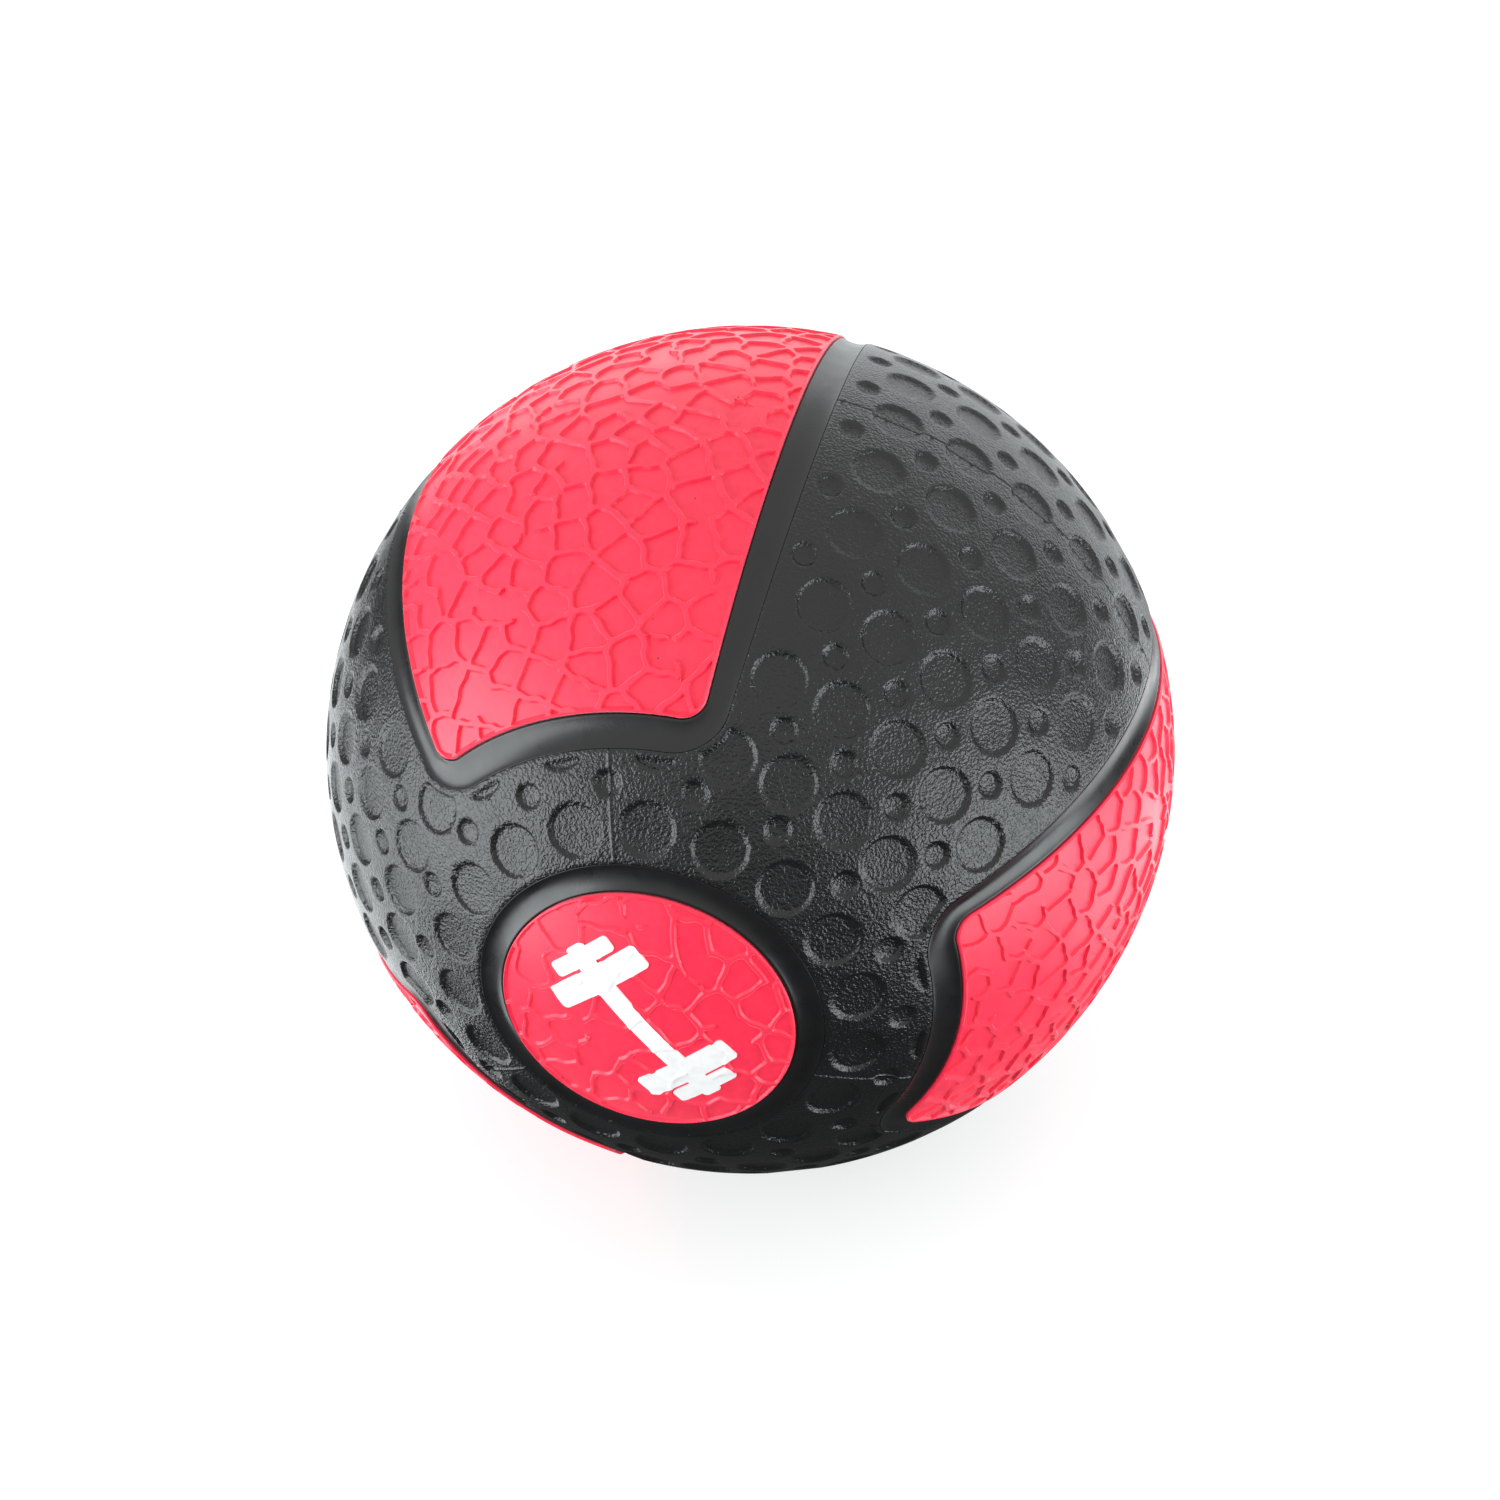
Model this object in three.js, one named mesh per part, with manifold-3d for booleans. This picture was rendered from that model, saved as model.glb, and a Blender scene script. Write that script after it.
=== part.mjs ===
// Rubber medicine ball, 230 mm across and about 4 kg, built up in layers from the bladder outwards.
//
// The ball is laid out like a globe. Its front pole faces -Y and carries the front badge, its rear pole
// faces +Y, and the mould parting line is its equator. A place on it is given by "around", degrees
// counter-clockwise from +X as seen from the front, and "north", degrees from the equator towards the
// front pole. The origin is the centre of the ball, and +Z is up.

import * as THREE from 'three';
import { mergeVertices } from 'three/addons/utils/BufferGeometryUtils.js';
import Module from 'manifold-3d';

const wasm = await Module();
wasm.setup();

// Driving dimensions, in millimetres and degrees.
const ballRadius = 115;
const coverThickness = 3;
const tongueThickness = 1;
const channelDepth = 1;
const channelLipDrop = 0.3;
const layerGap = 0.4;
const coverGap = 0.6;
const edgeGap = 0.2;
const carcassInner = 91;
const windingThickness = 0.8;
const bladderThickness = 2;

const panelCount = 3;
const firstPanelAround = 110.8;
const panelHalfWidth = 27.7;
const panelHalfHeight = 49.7;
const panelCorner = 2.8;
const channelWidth = 4.3;
const channelCorner = 6;
const badgeHalfAngle = 18.7;
const ringWidth = 3.6;
const seamOffset = -10.4;
const seamGap = 0.4;

const markLength = 54;
const markTilt = -50;
const markThickness = 0.3;
// The printed mark is a plain dumbbell: a bar with two plates at each end, as shares of its length.
const dumbbell = [
  { at: 0, length: 1, width: 0.1 },
  { at: 0.31, length: 0.13, width: 0.52 },
  { at: -0.31, length: 0.13, width: 0.52 },
  { at: 0.43, length: 0.09, width: 0.34 },
  { at: -0.43, length: 0.09, width: 0.34 },
];

const valveAround = firstPanelAround + 180 / panelCount;
const valveNorth = -42;
const stemRadius = 6;
const stemDrop = 0.6;
const plugRadius = 3.4;
const plugDrop = 0.9;
const needleRadius = 0.9;
const needleStop = 4;
const flangeRadius = 14;
const flangeThickness = 2;
const flangeInset = 6;
const valveClearance = 0.3;

// Facet sizes: degrees on the hidden layers and on the cover, grid lines in a rounded corner, facets round
// the valve, and millimetres on the printed mark.
const coarseStep = 15;
const fineStep = 7.5;
const cornerSteps = 2;
const valveFacets = 24;
const inkStep = 9;

// Radii that follow from the driving dimensions.
const coverInner = ballRadius - coverThickness;
const carcassOuter = coverInner - coverGap;
const windingOuter = carcassInner - layerGap;
const windingInner = windingOuter - windingThickness;
const bladderOuter = windingInner - layerGap;
const bladderInner = bladderOuter - bladderThickness;
const tongueTop = coverInner + tongueThickness;
const channelFloor = ballRadius - channelDepth;
const channelBed = tongueTop + layerGap;
const coveLip = ballRadius - channelLipDrop;
// How far a cutter runs past the layer that it cuts.
const cutDepth = 10;

const ball = new THREE.Group();

// Materials

function redRubber() {
  return new THREE.MeshStandardMaterial({ color: 0xf4304f, roughness: 0.55, metalness: 0 });
}

function blackRubber() {
  return new THREE.MeshStandardMaterial({ color: 0x1d1f21, roughness: 0.5, metalness: 0 });
}

function smoothBlackRubber() {
  return new THREE.MeshStandardMaterial({ color: 0x18191b, roughness: 0.4, metalness: 0 });
}

function weightedRubber() {
  return new THREE.MeshStandardMaterial({ color: 0x2b2b2a, roughness: 0.8, metalness: 0 });
}

function nylonThread() {
  return new THREE.MeshStandardMaterial({ color: 0xd8d4c8, roughness: 0.7, metalness: 0 });
}

function butylRubber() {
  return new THREE.MeshStandardMaterial({ color: 0x3a3836, roughness: 0.6, metalness: 0 });
}

function whiteInk() {
  return new THREE.MeshStandardMaterial({ color: 0xf7f5f2, roughness: 0.5, metalness: 0 });
}

// Geometry helpers

function onBall(around, north, radius) {
  const a = THREE.MathUtils.degToRad(around);
  const n = THREE.MathUtils.degToRad(north);
  const spread = radius * Math.cos(n);
  return new THREE.Vector3(spread * Math.cos(a), -radius * Math.sin(n), spread * Math.sin(a));
}

// Wraps a flat solid round the ball: x is degrees around, y is degrees north and z is the radius.
function wrapOnBall(geometry) {
  const place = geometry.attributes.position;
  for (let i = 0; i < place.count; i += 1) {
    const point = onBall(place.getX(i), place.getY(i), place.getZ(i));
    place.setXYZ(i, point.x, point.y, point.z);
  }
  return geometry;
}

function toSolid(geometry) {
  geometry.deleteAttribute('normal');
  geometry.deleteAttribute('uv');
  const merged = mergeVertices(geometry);
  const vertProperties = new Float32Array(merged.attributes.position.array);
  const triVerts = new Uint32Array(merged.index.array);
  return new wasm.Manifold(new wasm.Mesh({ numProp: 3, vertProperties, triVerts }));
}

function toGeometry(solid) {
  const mesh = solid.getMesh();
  const geometry = new THREE.BufferGeometry();
  geometry.setAttribute('position', new THREE.BufferAttribute(mesh.vertProperties, 3));
  geometry.setIndex(new THREE.BufferAttribute(mesh.triVerts, 1));
  geometry.computeVertexNormals();
  return geometry;
}

function addPiece(name, geometry, material) {
  const piece = new THREE.Mesh(geometry, material);
  piece.name = name;
  ball.add(piece);
  return piece;
}

// The place of one grid line of a slab: the outermost lines are crowded into its rounded corners.
function gridLine(step, steps, half, corner) {
  const plain = steps / 2 - cornerSteps;
  const size = Math.abs(step);
  if (size <= plain) {
    return Math.sign(step) * (half - corner) * size / plain;
  }
  return Math.sign(step) * (half - corner * (1 - (size - plain) / cornerSteps));
}

// A rounded slab centred on (around, 0), between two radii, as a grid of small facets on the ball.
// Its corners are quarter ellipses that look round on the curved surface.
function panelSlab(around, halfWidth, halfHeight, corner, bottom, top) {
  const cornerAcross = corner / Math.cos(THREE.MathUtils.degToRad(halfHeight));
  const columns = 2 * (Math.ceil((halfWidth - cornerAcross) / fineStep) + cornerSteps);
  const rows = 2 * (Math.ceil((halfHeight - corner) / fineStep) + cornerSteps);
  const slab = new THREE.BoxGeometry(columns, rows, 1, columns, rows, 1);
  const place = slab.attributes.position;
  for (let i = 0; i < place.count; i += 1) {
    let x = gridLine(Math.round(place.getX(i)), columns, halfWidth, cornerAcross);
    let y = gridLine(Math.round(place.getY(i)), rows, halfHeight, corner);
    const intoX = (Math.abs(x) - (halfWidth - cornerAcross)) / cornerAcross;
    const intoY = (Math.abs(y) - (halfHeight - corner)) / corner;
    if (intoX > 0 && intoY > 0) {
      const pull = Math.max(intoX, intoY) / Math.hypot(intoX, intoY);
      x = Math.sign(x) * (halfWidth - cornerAcross + cornerAcross * intoX * pull);
      y = Math.sign(y) * (halfHeight - corner + corner * intoY * pull);
    }
    place.setXYZ(i, around + x, y, place.getZ(i) < 0 ? bottom : top);
  }
  return wrapOnBall(slab);
}

// A plain slab between two meridians and two parallels.
function sectorSlab(west, east, south, north, bottom, top) {
  const columns = Math.ceil((east - west) / fineStep);
  const rows = Math.ceil((north - south) / fineStep);
  const slab = new THREE.BoxGeometry(east - west, north - south, top - bottom, columns, rows, 1);
  slab.translate((east + west) / 2, (north + south) / 2, (top + bottom) / 2);
  return wrapOnBall(slab);
}

// A rounded outline in degrees about (0, 0), counter-clockwise from its east side. Its straight sides are
// cut into steps, so that it follows the ball, and every outline has the same number of points.
function roundedOutline(halfWidth, halfHeight, corner) {
  const cornerAcross = corner / Math.cos(THREE.MathUtils.degToRad(halfHeight));
  const arcs = [[1, 1], [-1, 1], [-1, -1], [1, -1]].map(([east, north], quarter) => {
    const centreX = east * (halfWidth - cornerAcross);
    const centreY = north * (halfHeight - corner);
    const start = quarter * Math.PI / 2;
    const arc = new THREE.EllipseCurve(
      centreX, centreY, cornerAcross, corner, start, start + Math.PI / 2, false, 0);
    return arc.getPoints(cornerSteps * 2);
  });
  const points = [];
  arcs.forEach((arc, quarter) => {
    points.push(...arc);
    const length = quarter % 2 === 0 ? 2 * panelHalfWidth : 2 * panelHalfHeight;
    const steps = Math.round(length / fineStep);
    const next = arcs[(quarter + 1) % arcs.length][0];
    for (let i = 1; i < steps; i += 1) {
      points.push(arc.at(-1).clone().lerp(next, i / steps));
    }
  });
  return points;
}

// A closed frame round a panel. Each section point is [degrees out from the panel's edge, radius], and the
// section runs from its outer foot over the top to its inner foot.
function panelFrame(around, section) {
  const outlines = section.map(([out]) => {
    const corner = panelCorner + (channelCorner - panelCorner) * out / channelWidth;
    return roundedOutline(panelHalfWidth + out, panelHalfHeight + out, corner);
  });
  const steps = outlines[0].length;
  const frame = new THREE.TorusGeometry(2, 1, section.length, steps);
  const place = frame.attributes.position;
  for (let i = 0; i < place.count; i += 1) {
    const corner = Math.floor(i / (steps + 1)) % section.length;
    const point = outlines[corner][i % (steps + 1) % steps];
    place.setXYZ(i, around + point.x, point.y, section[corner][1]);
  }
  return wrapOnBall(frame);
}

// A shell turned about the badge axis. Each profile point is [degrees north, radius].
function turnedShell(profile, step) {
  const points = profile.map(([north, radius]) => {
    const n = THREE.MathUtils.degToRad(north);
    const offAxis = Math.abs(north) === 90 ? 0 : radius * Math.cos(n);
    return new THREE.Vector2(offAxis, radius * Math.sin(n));
  });
  const shell = new THREE.LatheGeometry(points, Math.round(360 / step));
  return shell.rotateX(Math.PI);
}

function arcProfile(fromNorth, toNorth, radius, step) {
  const steps = Math.max(1, Math.round(Math.abs(toNorth - fromNorth) / step));
  const arc = [];
  for (let i = 0; i <= steps; i += 1) {
    arc.push([fromNorth + (toNorth - fromNorth) * i / steps, radius]);
  }
  return arc;
}

// Valve axis: a lathe's own Y axis is turned to point outwards through the rear half of the ball.
const valveTurn = new THREE.Quaternion().setFromUnitVectors(
  new THREE.Vector3(0, 1, 0),
  onBall(valveAround, valveNorth, 1),
);

function valveBore(fromRadius, toRadius) {
  const height = toRadius - fromRadius;
  const radius = stemRadius + valveClearance;
  const bore = new THREE.CylinderGeometry(radius, radius, height, valveFacets);
  bore.translate(0, (fromRadius + toRadius) / 2, 0);
  return toSolid(bore.applyQuaternion(valveTurn));
}

// Inner layers

// A closed hollow ball would be a sealed cavity: the valve bore opens it.
function hollowLayer(inner, outer) {
  const outside = toSolid(turnedShell(arcProfile(-90, 90, outer, coarseStep), coarseStep));
  const inside = toSolid(turnedShell(arcProfile(-90, 90, inner, coarseStep), coarseStep));
  return toGeometry(outside.subtract(inside).subtract(valveBore(inner - cutDepth, outer + cutDepth)));
}

function carcassHalf(side) {
  const rim = side * THREE.MathUtils.radToDeg(layerGap / 2 / carcassOuter);
  const outerArc = arcProfile(side * 90, rim, carcassOuter, coarseStep);
  const innerArc = arcProfile(rim, side * 90, carcassInner, coarseStep);
  const profile = [...outerArc, ...innerArc];
  if (side > 0) {
    profile.reverse();
  }
  return toSolid(turnedShell(profile, coarseStep));
}

function addInnerLayers() {
  addPiece('bladder', hollowLayer(bladderInner, bladderOuter), butylRubber());
  addPiece('nylon_winding', hollowLayer(windingInner, windingOuter), nylonThread());
  addPiece('carcass_front_half', toGeometry(carcassHalf(1)), weightedRubber());
  const bore = valveBore(carcassInner - cutDepth, carcassOuter + cutDepth);
  addPiece('carcass_rear_half', toGeometry(carcassHalf(-1).subtract(bore)), weightedRubber());
}

// Valve: a rubber housing glued inside the bladder, and a self-sealing plug pressed into it.
function addValve() {
  const flangeTop = bladderInner - flangeInset;
  const flangeBottom = flangeTop - flangeThickness;
  const stemTop = ballRadius - stemDrop;
  const plugTop = ballRadius - plugDrop;
  const needleBottom = bladderInner + needleStop;
  const seat = plugRadius + valveClearance;
  const housing = new THREE.LatheGeometry([
    new THREE.Vector2(seat, flangeBottom),
    new THREE.Vector2(flangeRadius, flangeBottom),
    new THREE.Vector2(flangeRadius, flangeTop),
    new THREE.Vector2(stemRadius, flangeTop),
    new THREE.Vector2(stemRadius, stemTop),
    new THREE.Vector2(seat, stemTop),
    new THREE.Vector2(seat, flangeBottom),
  ], valveFacets);
  const plug = new THREE.LatheGeometry([
    new THREE.Vector2(0, bladderInner),
    new THREE.Vector2(plugRadius, bladderInner),
    new THREE.Vector2(plugRadius, plugTop),
    new THREE.Vector2(needleRadius, plugTop),
    new THREE.Vector2(needleRadius, needleBottom),
    new THREE.Vector2(0, needleBottom),
  ], valveFacets);
  addPiece('valve_housing', toGeometry(toSolid(housing)), smoothBlackRubber()).applyQuaternion(valveTurn);
  addPiece('valve_plug', toGeometry(toSolid(plug)), butylRubber()).applyQuaternion(valveTurn);
}

// Cover

function panelAround(index) {
  return firstPanelAround + index * 360 / panelCount;
}

// A red panel is a raised face on a thinner tongue that runs under the channel strip.
function redPanel(around) {
  const reach = channelWidth - edgeGap;
  const tongue = panelSlab(
    around, panelHalfWidth + reach, panelHalfHeight + reach, channelCorner, coverInner, tongueTop);
  const face = panelSlab(
    around, panelHalfWidth, panelHalfHeight, panelCorner, coverInner + tongueThickness / 2, ballRadius);
  return toGeometry(toSolid(tongue).add(toSolid(face)));
}

function channelStrip(around) {
  return toGeometry(toSolid(panelFrame(around, coveSection(edgeGap, channelWidth - edgeGap))));
}

// The section of a smooth channel: a shallow cove between a low lip at its inner edge and one at its outer.
function coveSection(inner, outer) {
  return [
    [outer, channelBed],
    [outer, coveLip],
    [(inner + outer) / 2, channelFloor],
    [inner, coveLip],
    [inner, channelBed],
  ];
}

// A black panel runs from ring to ring between two seams, cut back where the red panels' windows are.
function blackPanel(index) {
  const west = panelAround(index) + seamOffset + seamGap / 2;
  const east = panelAround(index + 1) + seamOffset - seamGap / 2;
  const reach = 90 - badgeHalfAngle - ringWidth - edgeGap;
  let panel = toSolid(sectorSlab(west, east, -reach, reach, coverInner, ballRadius));
  for (const around of [panelAround(index), panelAround(index + 1)]) {
    const window = panelSlab(around, panelHalfWidth + channelWidth, panelHalfHeight + channelWidth,
      channelCorner, coverInner - cutDepth, ballRadius + cutDepth);
    panel = panel.subtract(toSolid(window));
  }
  panel = panel.subtract(valveBore(coverInner - cutDepth, ballRadius + cutDepth));
  return toGeometry(panel);
}

function addCoverPanels() {
  const places = ['top', 'left', 'right'];
  const blackPlaces = ['left', 'bottom', 'right'];
  for (let i = 0; i < panelCount; i += 1) {
    addPiece(`red_panel_${places[i]}`, redPanel(panelAround(i)), redRubber());
    addPiece(`channel_strip_${places[i]}`, channelStrip(panelAround(i)), smoothBlackRubber());
    addPiece(`black_panel_${blackPlaces[i]}`, blackPanel(i), blackRubber());
  }
}

// Badges: each is a red disc whose tongue runs under a smooth black ring. side is 1 in front, -1 behind.

function badgeDisc(side) {
  const edge = 90 - badgeHalfAngle;
  const tongueEdge = edge - ringWidth;
  const profile = [
    ...arcProfile(90, edge, ballRadius, fineStep),
    [edge, tongueTop],
    [tongueEdge, tongueTop],
    ...arcProfile(tongueEdge, 90, coverInner, fineStep),
  ];
  return turnedFrom(profile, side);
}

function badgeRing(side) {
  const inner = 90 - badgeHalfAngle;
  const profile = coveSection(edgeGap, ringWidth).map(([out, radius]) => [inner - out, radius]);
  return turnedFrom([...profile, profile[0]].reverse(), side);
}

function turnedFrom(profile, side) {
  const placed = profile.map(([north, radius]) => [side * north, radius]);
  if (side > 0) {
    placed.reverse();
  }
  return toGeometry(toSolid(turnedShell(placed, fineStep)));
}

// A flat slab of ink, sized in millimetres along and across the printed dumbbell.
function inkSlab(along, length, width) {
  const columns = Math.ceil(length / inkStep);
  const rows = Math.ceil(width / inkStep);
  const slab = new THREE.BoxGeometry(length, width, markThickness, columns, rows, 1);
  return slab.translate(along, 0, 0);
}

// Lays a flat piece of ink on the ball over a pole, keeping distances from the pole true.
function wrapOnPole(slab, side) {
  const inkRadius = ballRadius + layerGap + markThickness / 2;
  const place = slab.attributes.position;
  for (let i = 0; i < place.count; i += 1) {
    const around = Math.atan2(place.getY(i), place.getX(i));
    const tilt = Math.hypot(place.getX(i), place.getY(i)) / ballRadius;
    const radius = inkRadius + place.getZ(i);
    const spread = radius * Math.sin(tilt);
    place.setXYZ(i, spread * Math.cos(around), -radius * Math.cos(tilt), spread * Math.sin(around));
  }
  return side > 0 ? slab : slab.rotateZ(Math.PI);
}

function badgeMark(side) {
  const plates = dumbbell.map(({ at, length, width }) => {
    const slab = inkSlab(at * markLength, length * markLength, width * markLength);
    slab.rotateZ(THREE.MathUtils.degToRad(markTilt));
    return toSolid(wrapOnPole(slab, side));
  });
  return toGeometry(plates.reduce((mark, plate) => mark.add(plate)));
}

function addBadges() {
  for (const [place, side] of [['front', 1], ['rear', -1]]) {
    addPiece(`badge_disc_${place}`, badgeDisc(side), redRubber());
    addPiece(`badge_ring_${place}`, badgeRing(side), smoothBlackRubber());
    addPiece(`badge_mark_${place}`, badgeMark(side), whiteInk());
  }
}

addInnerLayers();
addValve();
addCoverPanels();
addBadges();

export default ball;
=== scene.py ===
import math
import random

import bmesh
import bpy
import numpy as np
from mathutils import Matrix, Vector


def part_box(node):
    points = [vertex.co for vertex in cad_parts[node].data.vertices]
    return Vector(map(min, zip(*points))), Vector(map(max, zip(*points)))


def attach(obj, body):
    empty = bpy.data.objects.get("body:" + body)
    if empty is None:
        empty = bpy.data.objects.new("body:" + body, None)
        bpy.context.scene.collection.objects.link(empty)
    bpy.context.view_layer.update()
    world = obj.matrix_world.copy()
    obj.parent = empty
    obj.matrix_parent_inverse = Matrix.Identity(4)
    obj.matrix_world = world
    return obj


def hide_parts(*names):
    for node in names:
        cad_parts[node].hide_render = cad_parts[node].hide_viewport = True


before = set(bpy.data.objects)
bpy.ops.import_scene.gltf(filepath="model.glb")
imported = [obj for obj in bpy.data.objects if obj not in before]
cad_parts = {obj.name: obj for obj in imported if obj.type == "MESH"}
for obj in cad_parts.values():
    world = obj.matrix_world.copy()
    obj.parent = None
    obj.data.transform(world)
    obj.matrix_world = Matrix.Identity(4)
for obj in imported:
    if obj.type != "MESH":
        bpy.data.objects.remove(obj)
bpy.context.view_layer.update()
print("frame loaded:", len(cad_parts), "nodes")

mm = 0.001
ballRadius = -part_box("badge_disc_front")[0].y / mm   # mm, the front badge's face is the ball's surface
mmPerDegree = ballRadius * math.pi / 180

# The cover's layout, in degrees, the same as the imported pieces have.
layout = {
    "panelAround": [110.8, 230.8, 350.8],
    "panelHalfWidth": 27.7,
    "panelHalfHeight": 49.7,
    "panelCorner": 2.8,
    "channelWidth": 4.3,
    "channelCorner": 6.0,
    "badgeHalfAngle": 18.7,
    "ringWidth": 3.6,
    "seamOffset": -10.4,
}
places = ["top", "left", "right"]
blackPlaces = ["left", "bottom", "right"]


# ---- camera and light

# Angles in degrees, distance in ball radii, lens and sensor in mm.
cameraPlace = {"bearing": 13.2, "up": 36.96, "distance": 6.505, "lens": 65.36, "sensor": 36.0}


def addCamera():
    away = wayTo(cameraPlace["bearing"], cameraPlace["up"])
    data = bpy.data.cameras.new("viewCamera")
    data.lens = cameraPlace["lens"]
    data.sensor_width = cameraPlace["sensor"]
    camera = bpy.data.objects.new("viewCamera", data)
    bpy.context.collection.objects.link(camera)
    camera.location = away * cameraPlace["distance"] * ballRadius * mm
    camera.rotation_euler = (-away).to_track_quat("-Z", "Y").to_euler()
    bpy.context.scene.camera = camera


# Each softbox stands at a bearing, degrees from the front towards +X, and a height angle, and shines its
# brightness back at the ball.
softboxes = [
    {"name": "rightTent", "bearing": 74, "up": -2, "away": 1.1,
     "width": 1.0, "height": 0.7, "brightness": 5.6},
    {"name": "leftTent", "bearing": -56, "up": 0, "away": 1.1,
     "width": 1.1, "height": 1.0, "brightness": 5.5},
    {"name": "lowLeftTent", "bearing": -120, "up": -38, "away": 1.1,
     "width": 1.3, "height": 0.7, "brightness": 2.4},
    {"name": "lowRightTent", "bearing": 128, "up": -28, "away": 1.1,
     "width": 1.0, "height": 0.5, "brightness": 2.6},
    {"name": "backTent", "bearing": 180, "up": 5, "away": 1.3,
     "width": 2.4, "height": 1.4, "brightness": 1.4},
]
tentTint = (0.93, 0.98, 1.0)
# The room's light from straight below, 0, to straight above, 1, as [height, level].
room = [(0.0, 0.08), (0.42, 0.08), (0.56, 0.4), (0.8, 1.0), (1.0, 1.0)]


# The way to a place seen from the ball, by its bearing and its height angle.
def wayTo(bearing, up):
    b, u = math.radians(bearing), math.radians(up)
    return Vector((math.sin(b) * math.cos(u), -math.cos(b) * math.cos(u), math.sin(u)))


def addLights():
    for box in softboxes:
        place = wayTo(box["bearing"], box["up"])
        data = bpy.data.lights.new(box["name"], "AREA")
        data.shape = "RECTANGLE"
        data.size = box["width"]
        data.size_y = box["height"]
        data.color = tentTint
        data.energy = box["brightness"] * math.pi * box["width"] * box["height"]
        light = bpy.data.objects.new(box["name"], data)
        bpy.context.collection.objects.link(light)
        light.location = place * box["away"]
        light.rotation_euler = (-place).to_track_quat("-Z", "Y").to_euler()
    world = bpy.data.worlds.new("paleRoom")
    bpy.context.scene.world = world
    world.use_nodes = True
    tree = world.node_tree
    place = addNode(tree, "ShaderNodeTexCoord")
    parts = addNode(tree, "ShaderNodeSeparateXYZ", {}, {"Vector": place.outputs["Generated"]})
    height = addNode(tree, "ShaderNodeMapRange", {"From Min": -1.0, "From Max": 1.0},
                     {"Value": parts.outputs["Z"]})
    ramp = addNode(tree, "ShaderNodeValToRGB", {}, {"Fac": height.outputs["Result"]})
    while len(ramp.color_ramp.elements) < len(room):
        ramp.color_ramp.elements.new(0.5)
    for element, (at, level) in zip(ramp.color_ramp.elements, room):
        element.position = at
        element.color = (level, level, level, 1)
    tree.links.new(ramp.outputs["Color"], tree.nodes["Background"].inputs["Color"])
    bpy.context.scene.view_settings.view_transform = "Standard"


# ---- materials


def hexColour(text):
    channels = [int(text[i:i + 2], 16) / 255 for i in (1, 3, 5)]
    linear = [c / 12.92 if c <= 0.04045 else ((c + 0.055) / 1.055) ** 2.4 for c in channels]
    return (*linear, 1)


# Settings go to the node's inputs of that name or number, or else to its own options.
def addNode(tree, kind, settings=None, links=None):
    node = tree.nodes.new(kind)
    for key, value in (settings or {}).items():
        if isinstance(key, int) or key in node.inputs:
            node.inputs[key].default_value = value
        else:
            setattr(node, key, value)
    for key, source in (links or {}).items():
        tree.links.new(source, node.inputs[key])
    return node


def newMaterial(name, values):
    material = bpy.data.materials.new(name)
    material.use_nodes = True
    tree = material.node_tree
    shader = tree.nodes["Principled BSDF"]
    for socket, value in values.items():
        shader.inputs[socket].default_value = value
    return material, tree, shader


# A noise pattern whose blobs are about the given size, in mm. It reads Object coordinates, in metres.
def addNoise(tree, size, detail=2.0, distortion=0.0):
    place = addNode(tree, "ShaderNodeTexCoord")
    settings = {"Scale": 1 / (size * mm), "Detail": detail, "Distortion": distortion}
    return addNode(tree, "ShaderNodeTexNoise", settings, {"Vector": place.outputs["Object"]}).outputs["Fac"]


# Two colours spread over a pattern's range.
def addRamp(tree, pattern, stops):
    ramp = addNode(tree, "ShaderNodeValToRGB", {}, {"Fac": pattern})
    for element, (at, colour) in zip(ramp.color_ramp.elements, stops):
        element.position = at
        element.color = hexColour(colour)
    return ramp.outputs["Color"]


def addTint(tree, shader, pattern, stops):
    tree.links.new(addRamp(tree, pattern, stops), shader.inputs["Base Color"])


# Relief as deep as the given mm.
def addBump(tree, shader, pattern, depth):
    bump = addNode(tree, "ShaderNodeBump", {"Strength": 1.0, "Distance": depth * mm}, {"Height": pattern})
    tree.links.new(bump.outputs["Normal"], shader.inputs["Normal"])


# Roughness that wanders between two values over a pattern. Noise keeps mostly to 0.3-0.7.
def addSheen(tree, shader, pattern, low, high):
    settings = {"From Min": 0.3, "From Max": 0.7, "To Min": low, "To Max": high}
    sheen = addNode(tree, "ShaderNodeMapRange", settings, {"Value": pattern})
    tree.links.new(sheen.outputs["Result"], shader.inputs["Roughness"])


# Red cover rubber, compression moulded: an even satin face, faintly mottled where the pigment is uneven,
# with a few dark crumbs of black rubber, half a millimetre across and about 9 mm apart, pressed into it.
# A bloom of mould release pales it where it turns away.
def mouldedRedRubber():
    material, tree, shader = newMaterial("mouldedRedRubber", {"Sheen Weight": 0.3, "Sheen Roughness": 0.35})
    crumbSpacing, crumbRadius = 9, 0.252
    mottle = addRamp(tree, addNoise(tree, 2.2, 3), [(0.35, "#f4284a"), (0.65, "#fd304e")])
    place = addNode(tree, "ShaderNodeTexCoord")
    crumbs = addNode(tree, "ShaderNodeTexVoronoi", {"Scale": 1 / (crumbSpacing * mm)},
                     {"Vector": place.outputs["Object"]})
    crumb = addNode(tree, "ShaderNodeMath", {"operation": "LESS_THAN", 1: crumbRadius / crumbSpacing},
                    {0: crumbs.outputs["Distance"]})
    colour = addNode(tree, "ShaderNodeMix", {"data_type": "RGBA"})
    tree.links.new(crumb.outputs["Value"], colour.inputs["Factor"])
    tree.links.new(mottle, colour.inputs["A"])
    colour.inputs["B"].default_value = hexColour("#6a1522")
    tree.links.new(colour.outputs["Result"], shader.inputs["Base Color"])
    addSheen(tree, shader, addNoise(tree, 14), 0.38, 0.46)
    addBump(tree, shader, addNoise(tree, 0.9, 3), 0.03)
    return material


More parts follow.
